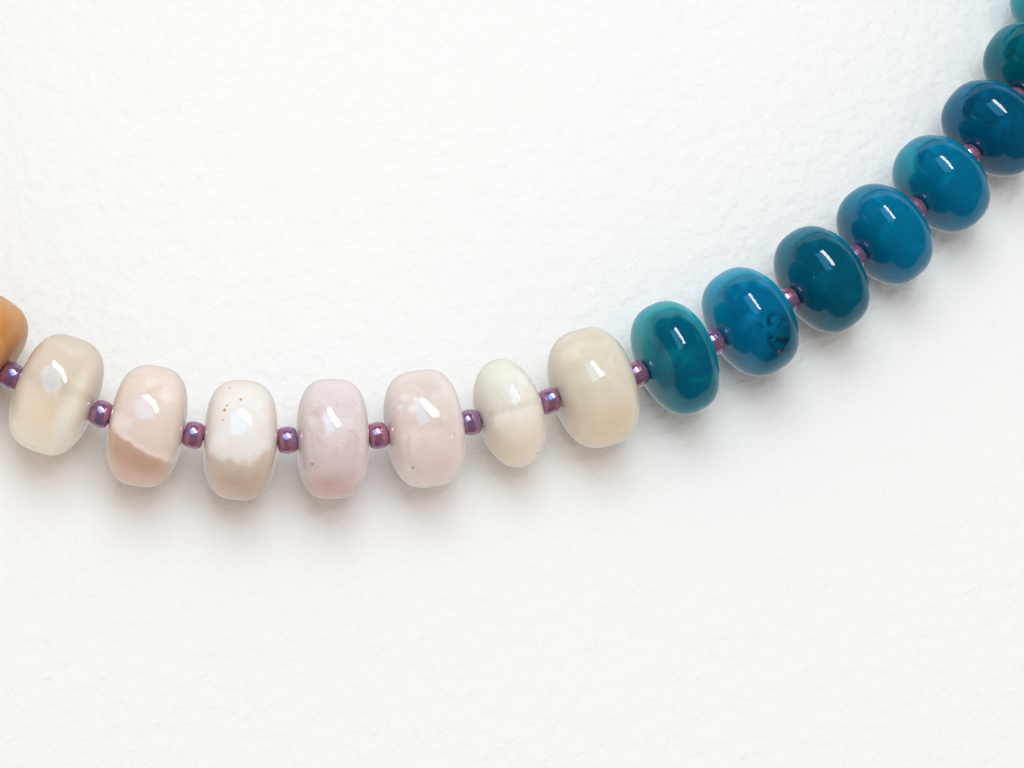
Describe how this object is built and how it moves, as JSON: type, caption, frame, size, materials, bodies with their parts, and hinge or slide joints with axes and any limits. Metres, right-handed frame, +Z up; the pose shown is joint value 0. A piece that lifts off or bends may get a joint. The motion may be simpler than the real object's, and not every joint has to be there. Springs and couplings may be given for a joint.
{
  "type": "beaded necklace",
  "caption": "Short closed necklace of large polished stone rondelles in amber, pale and teal tones, with a lustred seed bead in every gap and a plain barrel clasp, lying as an oval loop.",
  "frame": {"origin": "on the surface that the necklace lies on, under the middle of the whole loop", "axes": "+Z up out of the surface; +X along the loop's long way, with the front of the loop towards -Y and the clasp towards +Y"},
  "size_m": [0.1646, 0.1238, 0.0128],
  "materials": {
    "amber_stone": "polished translucent amber agate",
    "grey_cream_stone": "polished translucent grey-cream chalcedony",
    "pink_cream_stone": "polished pinkish cream agate, brown and translucent below",
    "white_stone": "polished white agate with orange flecks, brown and translucent below",
    "dusty_pink_stone": "polished opaque dusty pink agate",
    "pale_pink_stone": "polished translucent pale pink quartz with white flecks",
    "green_white_stone": "polished translucent green-white agate",
    "celadon_stone": "polished translucent celadon to honey agate",
    "teal_stone": "polished deep teal agate",
    "blue_stone": "polished blue agate with dark mottling",
    "deep_blue_stone": "polished dark blue agate",
    "plum_lustre": "opaque plum glass with an iridescent lustre",
    "clasp_metal": "plain satin silver-coloured metal"
  },
  "bodies": {
    "root": {"rondelle_01": "amber_stone", "rondelle_02": "amber_stone", "rondelle_03": "amber_stone", "rondelle_04": "amber_stone", "rondelle_05": "amber_stone", "rondelle_06": "amber_stone", "rondelle_07": "amber_stone", "rondelle_08": "amber_stone", "rondelle_09": "amber_stone", "rondelle_10": "amber_stone", "rondelle_11": "amber_stone", "rondelle_12": "amber_stone", "rondelle_13": "amber_stone", "rondelle_14": "grey_cream_stone", "rondelle_15": "pink_cream_stone", "rondelle_16": "white_stone", "rondelle_17": "dusty_pink_stone", "rondelle_18": "pale_pink_stone", "rondelle_19": "green_white_stone", "rondelle_20": "celadon_stone", "rondelle_21": "teal_stone", "rondelle_22": "blue_stone", "rondelle_23": "teal_stone", "rondelle_24": "blue_stone", "rondelle_25": "blue_stone", "rondelle_26": "deep_blue_stone", "rondelle_27": "teal_stone", "rondelle_28": "teal_stone", "rondelle_29": "blue_stone", "rondelle_30": "teal_stone", "rondelle_31": "blue_stone", "rondelle_32": "blue_stone", "rondelle_33": "deep_blue_stone", "rondelle_34": "teal_stone", "rondelle_35": "teal_stone", "rondelle_36": "blue_stone", "rondelle_37": "teal_stone", "rondelle_38": "blue_stone", "rondelle_39": "blue_stone", "rondelle_40": "deep_blue_stone", "rondelle_41": "teal_stone", "rondelle_42": "teal_stone", "seed_bead_thread": "plum_lustre", "clasp": "clasp_metal"}
  },
  "joints": []
}
